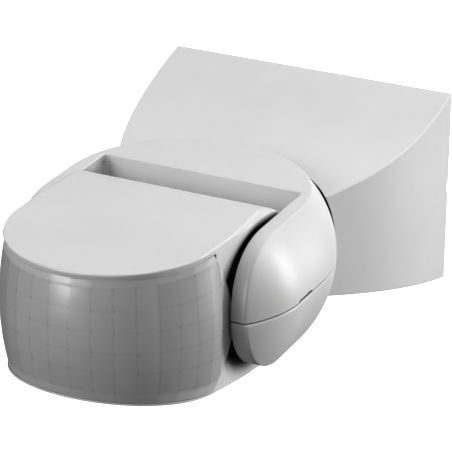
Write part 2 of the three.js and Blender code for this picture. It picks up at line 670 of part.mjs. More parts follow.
function buildYoke(yoke) {
  const body = yokeBody();
  piece(yoke, "yoke_upper", yokeUpper(body), housingPlastic);
  piece(yoke, "yoke_lower", yokeLower(body), housingPlastic);
  for (const [side, s] of [["left", -1], ["right", 1]])
    piece(
      yoke,
      `yoke_screw_${side}`,
      upwardScrew(s * YOKE_SCREW_X, YOKE_SCREW_Y, -8.1, 2.6, 2, 1.1, 14),
      steel,
    );
  piece(yoke, "yoke_lead", yokeLead(), blackPlastic);
}

function buildHead(head) {
  piece(head, "head_shell", headShell(), housingPlastic);
  piece(head, "head_cover", headCover(), housingPlastic);
  piece(head, "lens", lensBody(), lensPlastic);
  headPosts.forEach(([x, y], i) =>
    piece(head, `head_screw_${i + 1}`, upwardScrew(x, y, headBottom(y) + 0.2, 2.2, 1, 0.9, 8), steel),
  );
  for (const [side, s] of [["left", -1], ["right", 1]]) {
    const group = new THREE.Group();
    group.rotation.z = s < 0 ? Math.PI : 0;
    head.add(group);
    const seal = ringX(6, PIVOT_R + 0.1, COLLAR_FACE + 0.1, RECESS_FLOOR - 1.9);
    const dustRing = ringX(DUST_RING_R, HUB_R + 0.3, RECESS_FLOOR + 0.1, RECESS_FLOOR + 0.9);
    const washer = ringX(HUB_R, PIVOT_R + 0.15, HUB_FACE + 0.15, ARM_INNER - 0.15);
    const clipFace = ARM_INNER + SHELL + 0.3;
    const clip = ringX(6.6, PIVOT_R + 0.1, clipFace, clipFace + 1);
    piece(group, `pivot_${side}`, pivot(), blackPlastic);
    piece(group, `pivot_seal_${side}`, seal, rubber);
    piece(group, `dust_ring_${side}`, dustRing, rubber);
    piece(group, `friction_washer_${side}`, washer, steel);
    piece(group, `pivot_clip_${side}`, clip, steel);
  }
  piece(head, "main_board", mainBoard(), circuit);
  piece(head, "sensor_board", sensorBoard(), circuit);
  piece(head, "pyro_sensor", pyroSensor(), steel);
  piece(head, "pyro_window", block(-2.2, 2.2, -24.2, -23.8, 1.8, 5.2), blackPlastic);
  piece(head, "relay", block(-17.8, 1.2, -16.9, -2.6, BOARD_TOP + 0.1, BOARD_TOP + 15.6), blackPlastic);
  const seat = BOARD_TOP + 0.1;
  piece(head, "electrolytic_capacitor", rod("z", 4, seat, seat + 11, 6, -8, 18), blackPlastic);
  piece(head, "film_capacitor", block(11.6, 17.6, -16.4, -4.4, seat, seat + 12), bluePlastic);
  piece(head, "time_potentiometer", potentiometer(-KNOB_X), innerPlastic);
  piece(head, "lux_potentiometer", potentiometer(KNOB_X), innerPlastic);
  piece(head, "light_sensor", rod("y", 2.5, -22.2, -20.1, 8, 8.5, 20), cream);
  piece(head, "indicator_led", rod("y", 1.5, -24.6, -20.1, -8, 8.5, 16), redLamp);
  piece(head, "head_lead", headLead(), blackPlastic);
  for (const [name, s] of [["time_knob", -1], ["lux_knob", 1]])
    piece(head, name, knob(), innerPlastic).position.set(s * KNOB_X, KNOB_Y, 0);
}

const sensor = new THREE.Group();
const yoke = new THREE.Group();
const head = new THREE.Group();
yoke.position.set(0, PAN_Y, PIVOT_Z);
head.position.set(0, TILT_Y, 0);
sensor.add(yoke);
yoke.add(head);
buildBase(sensor);
buildYoke(yoke);
buildHead(head);

export default sensor;
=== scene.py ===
"""Visual model of the motion sensor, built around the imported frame. Shapes are worked out in
millimetres in the part's own frame: the origin is the centre of the wall face, and -Y points out
of the wall. Numbers in materials, lights and the camera are in metres, as Blender takes them."""

import json
import math

import bmesh
import bpy
import numpy as np
from mathutils import Matrix, Vector


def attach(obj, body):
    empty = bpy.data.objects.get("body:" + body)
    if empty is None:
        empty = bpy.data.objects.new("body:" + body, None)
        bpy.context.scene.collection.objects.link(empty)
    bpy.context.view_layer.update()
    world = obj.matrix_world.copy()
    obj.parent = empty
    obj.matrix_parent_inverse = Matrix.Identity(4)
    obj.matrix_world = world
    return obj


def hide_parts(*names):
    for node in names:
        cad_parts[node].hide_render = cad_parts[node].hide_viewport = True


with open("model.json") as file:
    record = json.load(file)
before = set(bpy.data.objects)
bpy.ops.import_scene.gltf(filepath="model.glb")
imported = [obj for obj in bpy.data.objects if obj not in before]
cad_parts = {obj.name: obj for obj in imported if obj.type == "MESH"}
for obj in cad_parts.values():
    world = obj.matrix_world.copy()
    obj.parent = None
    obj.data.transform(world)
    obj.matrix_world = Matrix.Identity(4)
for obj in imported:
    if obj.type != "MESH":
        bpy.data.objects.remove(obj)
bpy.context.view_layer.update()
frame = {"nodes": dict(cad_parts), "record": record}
MM = 0.001
QUARTER, FULL = math.pi / 2, 2 * math.pi  # turns in radians
SIDES = ((-1, "left"), (1, "right"))
LOOKS = {}

# ---- Dimensions that the frame's solids were made to --------------------------------------------
SHELL = 2.0  # wall thickness of the yoke and the head
PAN_Y = -74.4  # upright pan axis
TILT = -12.2  # level tilt axis, ahead of the pan axis
HEAD_Y, PIVOT_Z = PAN_Y + TILT, 3.8  # tilt axis; PIVOT_Z is the yoke's middle height too

BASE_HALF, BASE_HIGH = 40, 26.4  # half width and half height at the wall
FLANK_R, FLANK_START = 118, -5  # plan radius of the flanks, which curve in from here
TOP_SLOPE, BOTTOM_SLOPE = 0.27, 0.285
SWEEP_R, SWEEP_Y, SWEEP_START = 217, -67.5, -9  # the top's hollow sweep, with its lowest point
LID_SCREW_X, LID_SCREW_Y = 29, -8

HALF = 17.1  # half height of the yoke
EDGE_R, MID_R = 30.9, 37.4  # its barrel radius at top and bottom, and at the seam
ARM = 27.1  # inner face of each arm
POCKET = 9.8  # rear wall of the pocket between the arms, behind the pan axis
ARM_WALL = 0.55  # the arms' inner walls take this share of the wall thickness
FULL_FRONT = 2.5  # power of the oval that the arms' fronts follow above the seam
YOKE_SCREW_X, YOKE_SCREW_Y = 11, PAN_Y + 21

# The head and the lens are drawn about the tilt axis
AXIS_Y = -22.2  # centre of the head's round front
FRONT_R, REAR_R, SIDE_X = 25.4, 19.8, 25.75  # front in plan, rear in side view, half width
TOP, CROWN = 19.6, 0.4  # height of the top, which rises by CROWN towards the front
RIM, LOW_RIM = 1.55, 0.55  # height of the rims over and under the lens
HEAD_X = -0.3  # the head shell sits this far off centre between the arms
HEAD_AT = (HEAD_X, HEAD_Y, PIVOT_Z)
RECESS_R, RECESS_Y, RECESS_Z = 18.8, -0.8, -0.7  # round recess in each cheek
RECESS_FLOOR = 23.0  # distance of its floor from the middle
RECESS_OVAL = 0.98  # its height over its width
ROLL_RIM, ROLL = 20.4, 5.0  # where the cheek starts to roll in, and how far it takes
RING_R, RING_BORE = 15.2, 9.2  # black ring on the recess floor, a dark disc put where the floor lies in shade: painted shade

LENS_EDGE, LENS_MID = 25.3, 27.1  # barrel radius at the rims, and where it is widest
LENS_WIDEST = 0.46  # height of the widest place, from 0 at the bottom to 1 at the top
LENS_WALL = 1.1
COLUMN = math.radians(11.25)
ROWS = 5
ROW, TOP_BAND = 0.17, 0.065  # shares of the lens's height: one row, and the plain band on top
FRONT_COLUMN = 20.5  # the middle of column 20 is at the middle of the front
FIRST_TONE = 12  # column that the first of the tones below belongs to
# Grey of each column, fitted to the tones of the lit lens, so it paints light and shade: darker to
# the left, lightest right of the middle, and light again on the last column at the lens's end,
# which the arm shades
COLUMN_TONE_AND_SHADE = (
    *(0.1, 0.1, 0.1, 0.1, 0.1, 0.2, 0.28, 0.31, 0.32),
    *(0.33, 0.38, 0.43, 0.46, 0.28, 0.21, 0.15, 0.24, 0.7),
)

# ---- Camera, fitted to the edges in the photograph ----------------------------------------------
CAMERA_TURN = (26.204, 24.251, 0.234)  # azimuth, elevation and roll in degrees
CAMERA_AT = (0.25631, -0.57188, 0.2626)
CAMERA_LENS, CAMERA_SENSOR = 200.4, 36


def add_camera():
    az, el, roll = (math.radians(a) for a in CAMERA_TURN)
    back = Vector((math.sin(az) * math.cos(el), -math.cos(az) * math.cos(el), math.sin(el)))
    right = Vector((math.cos(az), math.sin(az), 0))
    up = back.cross(right)
    across = right * math.cos(roll) + up * math.sin(roll)
    above = up * math.cos(roll) - right * math.sin(roll)
    data = bpy.data.cameras.new("camera")
    data.lens, data.sensor_width = CAMERA_LENS, CAMERA_SENSOR
    data.clip_start, data.clip_end = 0.01, 50
    cam = bpy.data.objects.new("camera", data)
    turn = Matrix((across, above, back)).transposed().to_4x4()
    cam.matrix_world = Matrix.Translation(CAMERA_AT) @ turn
    bpy.context.scene.collection.objects.link(cam)
    bpy.context.scene.camera = cam


# ---- Curves -------------------------------------------------------------------------------------
def smooth_step(x):
    x = min(1.0, max(0.0, x))
    return x * x * (3 - 2 * x)


def circle(count):
    """Angles once round, without the closing one."""
    return np.linspace(0, FULL, count, False)


def mirrored(path):
    """Closes a path that starts and ends on the middle plane with its mirror image."""
    return path + [(-p[0], *p[1:]) for p in reversed(path[1:-1])]


# ---- Mesh tools ---------------------------------------------------------------------------------
def mesh_object(name, verts, faces):
    """Welded mesh with outward normals. Faces that shrink to a line or repeat are left out."""
    bm = bmesh.new()
    made = [bm.verts.new(Vector(map(float, v))) for v in verts]
    for face in faces:
        corners = []
        for i in face:
            if made[i] not in corners:
                corners.append(made[i])
        if len(corners) > 2:
            try:
                bm.faces.new(corners)
            except ValueError:
                pass
    bmesh.ops.remove_doubles(bm, verts=bm.verts, dist=1e-4)
    bmesh.ops.dissolve_degenerate(bm, edges=bm.edges, dist=1e-5)
    bmesh.ops.recalc_face_normals(bm, faces=bm.faces)
    caps = [f for f in bm.faces if len(f.verts) > 4]
    bmesh.ops.triangulate(bm, faces=caps, ngon_method="EAR_CLIP")
    data = bpy.data.meshes.new(name)
    bm.to_mesh(data)
    bm.free()
    obj = bpy.data.objects.new(name, data)
    bpy.context.scene.collection.objects.link(obj)
    return obj


def stack(name, rings):
    """Closed solid through rings of points that match one to one, with a flat cap at each end."""
    count = len(rings[0])
    last = (len(rings) - 1) * count
    faces = [list(range(count)), [last + i for i in reversed(range(count))]]
    for low in range(0, last, count):
        high = low + count
        for i in range(count):
            j = (i + 1) % count
            faces.append([low + i, high + i, high + j, low + j])
    return mesh_object(name, np.concatenate(rings), faces)


def prism(axis, points, lo, hi):
    """Straight solid along an axis. The points give the other two coordinates, in x, y, z order."""
    at = "xyz".index(axis)
    rings = [np.array([(*p[:at], d, *p[at:]) for p in points], float) for d in (lo, hi)]
    return stack("prism", rings)


def rod(axis, radius, lo, hi, u=0.0, v=0.0, sides=64):
    """Round rod along an axis, at u, v in the other two coordinates."""
    ring = [(u + radius * math.cos(a), v + radius * math.sin(a)) for a in circle(sides)]
    return prism(axis, ring, lo, hi)


def block(x0, x1, y0, y1, z0, z1):
    return prism("z", [(x0, y0), (x1, y0), (x1, y1), (x0, y1)], z0, z1)


def side_block(side, x0, x1, *rest):
    """A block on one side of the middle plane, between the distances x0 and x1 from it."""
    return block(*sorted((side * x0, side * x1)), *rest)


def side_rod(side, radius, x0, x1, *rest):
    """A rod along x on one side of the middle plane, from distance x0 to x1."""
    return rod("x", radius, *sorted((side * x0, side * x1)), *rest)


def apply(obj):
    """Replaces the object's mesh by its evaluated one, so no modifier is left."""
    deps = bpy.context.evaluated_depsgraph_get()
    data = bpy.data.meshes.new_from_object(obj.evaluated_get(deps))
    obj.modifiers.clear()
    obj.data = data
    return obj


def boolean(obj, kind, *tools):
    for tool in tools:
        mod = obj.modifiers.new("cut", "BOOLEAN")
        mod.operation, mod.solver, mod.object = kind, "MANIFOLD", tool
        apply(obj)
        bpy.data.objects.remove(tool)
    return obj


def cut(obj, *tools):
    return boolean(obj, "DIFFERENCE", *tools)


def join(obj, *tools):
    return boolean(obj, "UNION", *tools)


def both(obj, *tools):
    return boolean(obj, "INTERSECT", *tools)


def tidy_mesh(obj):
    """Welds the booleans' slivers and drops edges inside flat faces."""
    bm = bmesh.new()
    bm.from_mesh(obj.data)
    bmesh.ops.remove_doubles(bm, verts=bm.verts, dist=2e-3)
    bmesh.ops.dissolve_limit(bm, angle_limit=math.radians(0.3), verts=bm.verts, edges=bm.edges)
    bm.to_mesh(obj.data)
    bm.free()


def soften(obj, width, segments=3, angle=32):
    """Rounds every edge that is sharper than the angle in degrees."""
    tidy_mesh(obj)
    mod = obj.modifiers.new("round", "BEVEL")
    mod.width, mod.segments, mod.limit_method = width, segments, "ANGLE"
    mod.angle_limit = math.radians(angle)
    mod.use_clamp_overlap = True
    mod.miter_outer = "MITER_ARC"
    return apply(obj)


def place(obj, name, body, material, move=(0, 0, 0), stands_for=()):
    """Scales to metres, smooths, and hands the piece to its body."""
    obj.name = name
    obj.data.name = name
    obj.data.transform(Matrix.Scale(MM, 4) @ Matrix.Translation(move))
    obj.data.shade_smooth()
    obj.data.set_sharp_from_angle(angle=math.radians(38))
    mod = obj.modifiers.new("normals", "WEIGHTED_NORMAL")
    mod.keep_sharp, mod.weight = True, 80
    apply(obj)
    obj.data.materials.clear()
    obj.data.materials.append(material)
    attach(obj, body)
    if stands_for:
        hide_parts(*stands_for)
    return obj


# ---- Materials ----------------------------------------------------------------------------------
class Nodes:
    """Small helper that wires a material's node tree."""

    def __init__(self, name):
        self.material = bpy.data.materials.new(name)
        self.material.use_nodes = True
        self.tree = self.material.node_tree
        self.tree.nodes.clear()
        self.shader = self.add("ShaderNodeBsdfPrincipled")
        out = self.add("ShaderNodeOutputMaterial")
        self.link(self.shader.outputs[0], out.inputs[0])
        self.coords = self.add("ShaderNodeTexCoord").outputs["Object"]

    def add(self, kind, **values):
        """A node, with values for its own settings or for its input sockets."""
        node = self.tree.nodes.new(kind)
        for key, value in values.items():
            if hasattr(node, key):
                setattr(node, key, value)
            else:
                node.inputs[key.replace("_", " ")].default_value = value
        return node

    def link(self, a, b):
        self.tree.links.new(a, b)

    def set(self, **values):
        """Constant values on the shader's own sockets."""
        for key, value in values.items():
            self.shader.inputs[key.replace("_", " ")].default_value = value

    def feed(self, socket, value):
        self.link(value, self.shader.inputs[socket])

    def split(self, vector):
        node = self.add("ShaderNodeSeparateXYZ")
        self.link(vector, node.inputs[0])
        return node.outputs

    def noise(self, scale, detail=3.0, rough=0.5):
        node = self.add("ShaderNodeTexNoise", Scale=scale, Detail=detail, Roughness=rough)
        self.link(self.coords, node.inputs["Vector"])
        return node.outputs["Fac"]

    def ramp(self, value, stops, interpolation="LINEAR"):
        node = self.add("ShaderNodeValToRGB")
        node.color_ramp.interpolation = interpolation
        while len(node.color_ramp.elements) < len(stops):
            node.color_ramp.elements.new(0.5)
        for element, (at, colour) in zip(node.color_ramp.elements, stops):
            element.position = at
            element.color = (*colour, 1)
        self.link(value, node.inputs[0])
        return node.outputs["Color"]

    def span(self, value, lo, hi, frm=(0.0, 1.0)):
        """Maps the range frm of the value to lo..hi."""
        node = self.add("ShaderNodeMapRange")
        for key, v in zip(("From Min", "From Max", "To Min", "To Max"), (*frm, lo, hi)):
            node.inputs[key].default_value = v
        self.link(value, node.inputs["Value"])
        return node.outputs["Result"]

    def math(self, op, a, b=0.0):
        node = self.add("ShaderNodeMath", operation=op)
        for i, v in enumerate((a, b)):
            if isinstance(v, (int, float)):
                node.inputs[i].default_value = v
            else:
                self.link(v, node.inputs[i])
        return node.outputs[0]

    def plus(self, a, b):
        return self.math("ADD", a, b)

    def minus(self, a, b):
        return self.math("SUBTRACT", a, b)

    def times(self, a, b):
        return self.math("MULTIPLY", a, b)

    def swing(self, value, by):
        """Centres a noise value on zero and scales it."""
        return self.times(self.minus(value, 0.5), by)

    def off_middle(self, value):
        """Distance from the middle of a cell that repeats once per unit."""
        return self.math("ABSOLUTE", self.minus(self.math("FRACT", value), 0.5))

    def dim(self, colour, factor):
        node = self.add("ShaderNodeVectorMath", operation="SCALE")
        self.link(colour, node.inputs[0])
        self.link(factor, node.inputs["Scale"])
        return node.outputs[0]

    def bump(self, height, strength, distance, normal=None):
        node = self.add("ShaderNodeBump", Strength=strength, Distance=distance)
        self.link(height, node.inputs["Height"])
        if normal is not None:
            self.link(normal, node.inputs["Normal"])
        return node.outputs["Normal"]


def grey(v, tint=(1, 1, 1)):
    return tuple(v * t for t in tint)


NOISE_CORE = (0.3, 0.7)  # the part of a noise value's range that most of it falls in
# Painted shade round the head's cheek recesses, darkest where the cheek rolls in towards the pivots
CHEEK_IN, CHEEK_OUT = 22.2 * MM, 22.6 * MM  # the painted shade only lies outside this half width
SHADE_IN, SHADE_OUT = 17.0 * MM, 20.2 * MM  # radii between which the painted shade on the cheek fades from dark to none
SHADE_WOBBLE = 0.4 * MM
GAP_REACH = 5 * MM  # how far the occlusion node of the painted gap shade looks for the other side of a gap


def recess_painted_shade(n):
    """Painted shade where the head's cheeks roll down towards the pivots: 1 where there is none,
    darker further in.
    """
    x, y, z = n.split(n.coords)
    y = n.minus(y, (HEAD_Y + RECESS_Y) * MM)
    z = n.times(n.minus(z, (PIVOT_Z + RECESS_Z) * MM), 1 / RECESS_OVAL)
    radius = n.math("SQRT", n.plus(n.times(y, y), n.times(z, z)))
    radius = n.plus(radius, n.swing(n.noise(220, 2), SHADE_WOBBLE))
    on_cheek = n.span(n.math("ABSOLUTE", x), 0.0, 1.0, (CHEEK_IN, CHEEK_OUT))
    unshaded = n.span(radius, 0.1, 1.0, (SHADE_IN, SHADE_OUT))
    return n.minus(1.0, n.times(on_cheek, n.minus(1.0, unshaded)))


def moulded(
    name,
    base,
    rough=0.42,
    spread=0.03,
    grain=5200,
    depth=0.00002,
    tint=(1, 1, 1),
    spec=0.5,
    gap_shade=1.0,
    recess=False,
):
    """Moulded plastic: faint flow clouding, a fine spark-eroded grain and uneven gloss. Below 1,
    the gap-shade value is how far the colour darkens in narrow gaps, painted shade. The recess
    switch adds painted shade round the head's cheek recesses."""
    n = Nodes(name)
    low, high = grey(base * (1 - spread), tint), grey(base * (1 + spread), tint)
    colour = n.ramp(n.noise(38, 4, 0.6), list(zip(NOISE_CORE, (low, high))))
    # Painted shade: an occlusion node darkens the colour in narrow gaps
    if gap_shade < 1:
        gap = n.add("ShaderNodeAmbientOcclusion", samples=12, Distance=GAP_REACH)
        colour = n.dim(colour, n.span(gap.outputs["AO"], gap_shade, 1.0, (0.2, 0.8)))
    # Painted shade in the head's cheek recesses
    if recess:
        colour = n.dim(colour, recess_painted_shade(n))
    n.feed("Base Color", colour)
    n.feed("Roughness", n.span(n.noise(900, 3), rough - 0.05, rough + 0.06, NOISE_CORE))
    n.set(IOR=1.47, Specular_IOR_Level=spec)
    normal = n.bump(n.noise(grain, 2, 0.6), 0.22, depth)
    n.feed("Normal", n.bump(n.noise(60, 2), 0.04, 0.0004, normal))
    return n.material


def metal(name, dark, light, rough=0.3):
    """Plain metal with mottled colour and gloss."""
    n = Nodes(name)
    n.feed("Base Color", n.ramp(n.noise(700, 4), [(0.35, dark), (0.65, light)]))
    n.set(Metallic=1.0)
    n.feed("Roughness", n.span(n.noise(1500, 4), rough - 0.08, rough + 0.12, NOISE_CORE))
    n.feed("Normal", n.bump(n.noise(4000, 3), 0.15, 0.00001))
    return n.material


def board(name):
    """Green solder mask, lighter over the copper between the blocks of a brick pattern."""
    n = Nodes(name)
    tracks = n.add("ShaderNodeTexBrick", Scale=260.0, Mortar_Size=0.035)
    n.link(n.coords, tracks.inputs["Vector"])
    mask, track = (0.012, 0.10, 0.035), (0.03, 0.2, 0.07)
    n.feed("Base Color", n.ramp(tracks.outputs["Fac"], [(0.0, mask), (1.0, track)]))
    n.feed("Roughness", n.span(n.noise(300), 0.28, 0.4))
    n.feed("Normal", n.bump(tracks.outputs["Fac"], 0.4, 0.00003))
    return n.material


def lens_look(name):
    """Grey polyethylene lens: soft gloss over moulded, slightly pillowed cells. One unit of the
    uv layer is one column of cells across and one row down."""
    n = Nodes(name)
    u, v, _ = n.split(n.add("ShaderNodeUVMap", uv_map="cells").outputs[0])
    swell = n.math("ABSOLUTE", n.math("SINE", n.times(v, math.pi)))
    u = n.plus(u, n.times(swell, 0.035))
    du, dv = n.off_middle(u), n.off_middle(v)
    inside = n.times(n.span(v, 0.0, 1.0, (-0.12, 0.02)), n.span(v, 1.0, 0.0, (ROWS, ROWS + 0.2)))
    upright_edge = n.times(n.span(du, 0.0, 1.0, (0.40, 0.5)), inside)
    level_edge = n.times(n.span(dv, 0.0, 1.0, (0.40, 0.5)), inside)
    knots = n.times(n.span(du, 0.0, 1.0, (0.38, 0.5)), n.span(dv, 0.0, 1.0, (0.38, 0.5)))

    count = len(COLUMN_TONE_AND_SHADE)
    steps = [(i / count, grey(tone)) for i, tone in enumerate(COLUMN_TONE_AND_SHADE)]
    # Painted light and shade: each column takes its grey from the table above
    tones = n.ramp(n.math("DIVIDE", n.minus(u, FIRST_TONE), count), steps, "CONSTANT")
    cells = n.plus(tones, n.swing(n.noise(140, 3), 0.12))
    plain = n.times(n.minus(1.0, inside), 0.46)
    shade = n.plus(n.times(cells, inside), plain)
    shade = n.minus(shade, n.times(upright_edge, 0.07))
    shade = n.minus(shade, n.times(level_edge, 0.045))
    shade = n.minus(shade, n.times(n.times(knots, inside), 0.14))
    n.feed("Base Color", n.ramp(shade, [(0.0, grey(0.25)), (0.5, grey(0.47)), (1.0, grey(0.69))]))
    n.feed("Roughness", n.span(n.noise(260, 3), 0.30, 0.37, NOISE_CORE))
    n.set(IOR=1.52)

    pillow = n.plus(n.times(du, du), n.times(n.times(dv, dv), 0.6))
    normal = n.bump(n.times(n.times(pillow, -1.0), inside), 1.0, 0.00014)
    n.feed("Normal", n.bump(n.noise(2600, 2), 0.1, 0.00002, normal))
    return n.material


def make_looks():
    """One material per slot of the record, and one more for the head's shell."""
    # The white plastics take painted shade in narrow gaps, and the head's also in its cheek
    # recesses
    white = {"base": 0.60, "rough": 0.40, "spec": 0.4, "gap_shade": 0.25}
    LOOKS.update(
        housing=moulded("housing_plastic", **white),
        head=moulded("head_plastic", **white, recess=True),
        lens=lens_look("lens_plastic"),
        inner_plastic=moulded("natural_plastic", 0.62, 0.5, tint=(1, 0.97, 0.88)),
        black_plastic=moulded("black_plastic", 0.018, 0.45, spread=0.2),
        blue_plastic=moulded("blue_dip", 0.3, 0.3, spread=0.06, tint=(0.12, 0.35, 1.0)),
        seal_rubber=moulded("seal_rubber", 0.022, 0.7, spread=0.25, grain=2600, depth=0.00004),
        plated_steel=metal("plated_steel", (0.42, 0.42, 0.43), (0.6, 0.6, 0.6)),
        brass=metal("brass", (0.52, 0.35, 0.12), (0.7, 0.5, 0.2)),
        circuit_board=board("circuit_board"),
        red_lamp=moulded("red_lamp", 0.5, 0.15, spread=0.05, tint=(1, 0.05, 0.04)),
        sensor_cream=moulded("sensor_ceramic", 0.6, 0.5, tint=(1, 0.86, 0.6)),
    )


# ---- Yoke, about the pan axis -------------------------------------------------------------------
# Height and inset of each shell's edge at the seam, from its inside outwards
UPPER_EDGE = ((-0.15, 0.12), (-0.08, 0.03), (0.0, 0.0))
LOWER_EDGE = ((-0.42, 0.5), (-0.46, 0.33), (-0.56, 0.18), (-0.72, 0.05), (-0.92, 0.0))
SLOT_TURN, SLOT_OUT, SLOT_IN, SLOT_HALF = 0.535, 42, 30, 5.5  # slot that the swivel stub runs in
PIVOT_BORE = 4.75
PRY_X, PRY_HALF = 37, 1.9  # notch in the seam, through the dome
POST_R, THREAD_R = 3, 1.2  # screw posts of the upper shell
BOSS_R, SCREW_R, SCREW_HEAD_R = 4.1, 1.8, 2.9  # screw bosses of the lower shell


class Form:
    """The yoke's barrel and pocket at one wall depth. Fillets are zero on the inner form."""

    def __init__(self, inset, outer_fillet, inner_fillet, corner, swell=0.0):
        self.half = HALF - inset
        self.edge, self.mid = EDGE_R + swell - inset, MID_R - inset
        self.arm, self.wall = ARM + ARM_WALL * inset, POCKET + inset
        self.outer_fillet, self.inner_fillet = outer_fillet, inner_fillet
        self.corner = corner
        rise = self.mid - self.edge
        self.bulge = (self.half**2 + rise**2) / (2 * rise)

    def out(self, h):
        """Barrel radius, or dome width, at height or tilt radius h."""
        base = self.mid - self.bulge
        if self.outer_fillet > 0:
            top = self.half - self.outer_fillet
            reach = self.bulge - self.outer_fillet
            centre = base + math.sqrt(reach**2 - top**2)
            if h > top + self.outer_fillet * top / reach:
                return centre + math.sqrt(max(0.0, self.outer_fillet**2 - (h - top) ** 2))
        return base + math.sqrt(self.bulge**2 - h**2)

    def face(self, h):
        """Pocket wall: how far it stands back at height h."""
        top = self.half - self.inner_fillet
        if self.inner_fillet > 0 and h > top:
            return self.inner_fillet - math.sqrt(max(0.0, self.inner_fillet**2 - (h - top) ** 2))
        return 0.0


def arm_reach(radius, h, power):
    """How far an arm's round front stands ahead of the tilt axis at height h."""
    return 0.0 if h >= radius else radius * (1 - (h / radius) ** power) ** (1 / power)


def yoke_ring(form, z, shrink=0.0):
    """One level loop round the yoke: its barrel, an arm's front and inner face, and the pocket."""
    h = abs(z)
    power = FULL_FRONT if z > 0 else 2
    radius, half, arm = form.out(h) - shrink, form.half - shrink, form.arm + shrink
    back = form.face(h) + shrink
    reach, plain = arm_reach(half, h, power), arm_reach(half, h, 2)

    # From the middle of the rear, round the barrel and along the arm's outside
    path = [(radius * math.sin(a), radius * math.cos(a)) for a in np.linspace(0, QUARTER, 41)]
    path += [(radius, TILT * s) for s in (0.25, 0.5, 0.75, 1.0)]
    for a in np.linspace(0, QUARTER, 26)[1:]:
        width = form.out(min(form.half, math.hypot(plain * math.sin(a), h))) - shrink
        path.append((width, TILT - reach * math.sin(a)))

    # Across the arm's front and round its inner fillet
    rim = form.out(form.half) - shrink
    path += [(rim + (arm + form.inner_fillet - rim) * s, TILT - reach) for s in (0.33, 0.66, 1.0)]
    inner = form.arm + back
    for a in np.linspace(0, QUARTER, 5)[1:]:
        rho = half - form.inner_fillet * (1 - math.cos(a))
        x = arm + form.inner_fillet * (1 - math.sin(a))
        if h > rho:
            path.append((inner, TILT))
        else:
            path.append((max(x, inner), TILT - arm_reach(rho, h, power)))

    # Back along the inner face, round the pocket's corner and to the middle
    start, wall, c = path[-1][1], form.wall + back, form.corner
    path += [(inner, start + (wall - c - start) * s) for s in (0.25, 0.5, 0.75, 1.0)]
    for a in np.linspace(0, QUARTER, 6)[1:]:
        path.append((inner - c * (1 - math.cos(a)), wall - c * (1 - math.sin(a))))
    path += [((inner - c) * s, wall) for s in (0.75, 0.5, 0.25, 0.0)]
    return np.array([(x, y + PAN_Y, z + PIVOT_Z) for x, y in mirrored(path)])


def yoke_heights(form, sign):
    """Heights of the rings above or below the seam, closer together round the outer fillet."""
    first = 1.2
    levels = [z for z in np.linspace(0, 1, 22) ** 0.9 * (form.half - first) if z > first]
    if form.outer_fillet > 0:
        top = form.half - form.outer_fillet
        levels = [z for z in levels if z < top - 0.2]
        turns = np.linspace(0.1, QUARTER, 9)
        levels += [form.half - form.outer_fillet * (1 - math.sin(a)) for a in turns]
    else:
        levels.append(form.half)
    return [sign * z for z in levels]


def swivel_slot():
    """Cutter for the slot in the yoke's rear wall, a sector of a ring about the pan axis."""
    sweep = np.linspace(-SLOT_TURN, SLOT_TURN, 24)
    path = [(SLOT_OUT, a) for a in sweep] + [(SLOT_IN, a) for a in reversed(sweep)]
    outline = [(r * math.sin(a), r * math.cos(a) + PAN_Y) for r, a in path]
    return prism("z", outline, PIVOT_Z - SLOT_HALF, PIVOT_Z + SLOT_HALF)


def yoke_half(sign):
    """The upper (1) or lower (-1) shell, hollow and open at the seam."""
    if sign > 0:
        outer, edge = Form(0.0, 0.6, 0.3, 1.2), UPPER_EDGE
    else:
        outer, edge = Form(0.0, 0.4, 0.3, 1.2, swell=0.5), LOWER_EDGE
    inner = Form(SHELL, 0.0, 0.0, 0.6)
    cavity = [yoke_ring(inner, z) for z in reversed(yoke_heights(inner, sign))]
    cavity.append(yoke_ring(inner, edge[0][0]))
    seam = [yoke_ring(outer, z, s) for z, s in edge]
    outside = [yoke_ring(outer, z) for z in yoke_heights(outer, sign)]
    shell = stack("yoke", cavity + seam + outside)
    return cut(shell, swivel_slot(), rod("x", PIVOT_BORE, -31, 31, HEAD_Y, PIVOT_Z))


def build_yoke():
    """Both shells, with the pry notches in the seam and the posts for the two screws."""
    upper, lower = yoke_half(1), yoke_half(-1)
    for s, _ in SIDES:
        at = (s * YOKE_SCREW_X, YOKE_SCREW_Y)
        across, along = (s * PRY_X - PRY_HALF, s * PRY_X + PRY_HALF), (HEAD_Y - 1.2, HEAD_Y + 5.8)
        cut(upper, block(*across, *along, PIVOT_Z - 1, PIVOT_Z + 0.45))
        post = rod("z", POST_R, PIVOT_Z + 0.2, PIVOT_Z + HALF - 1, *at)
        join(upper, cut(post, rod("z", THREAD_R, 0, PIVOT_Z + 10, *at)))
        join(lower, rod("z", BOSS_R, PIVOT_Z + 1 - HALF, PIVOT_Z - 0.2, *at))
        cut(lower, rod("z", SCREW_R, -30, 9, *at))
        cut(lower, rod("z", SCREW_HEAD_R, -30, PIVOT_Z - 6, *at))
    look = LOOKS["housing"]
    place(upper, "yoke_upper_shell", "yoke", look, stands_for=("yoke_upper",))
    place(lower, "yoke_lower_shell", "yoke", look, stands_for=("yoke_lower",))


# ---- Base ---------------------------------------------------------------------------------------
BASE_WALL = 2.2
MOUTH_INSET, MOUTH_FROM = 1.2, -3.6  # the wall plate's seat in the rear rim
NOTCH_HALF = 1.5  # pry notches in the sides of the rim
LID_BOSS_R, LID_SCREW_R, LID_HEAD_R = 4.2, 1.9, 3.1
COLLAR_R, STUB_R = 9.5, 5.25  # collar inside the front wall, and the hole for the swivel stub
NOSE_GAP = 0.5  # between the yoke's barrel and the hollow front that it turns in


def base_half_width(y):
    return BASE_HALF - FLANK_R + math.sqrt(FLANK_R**2 - max(0.0, FLANK_START - y) ** 2)


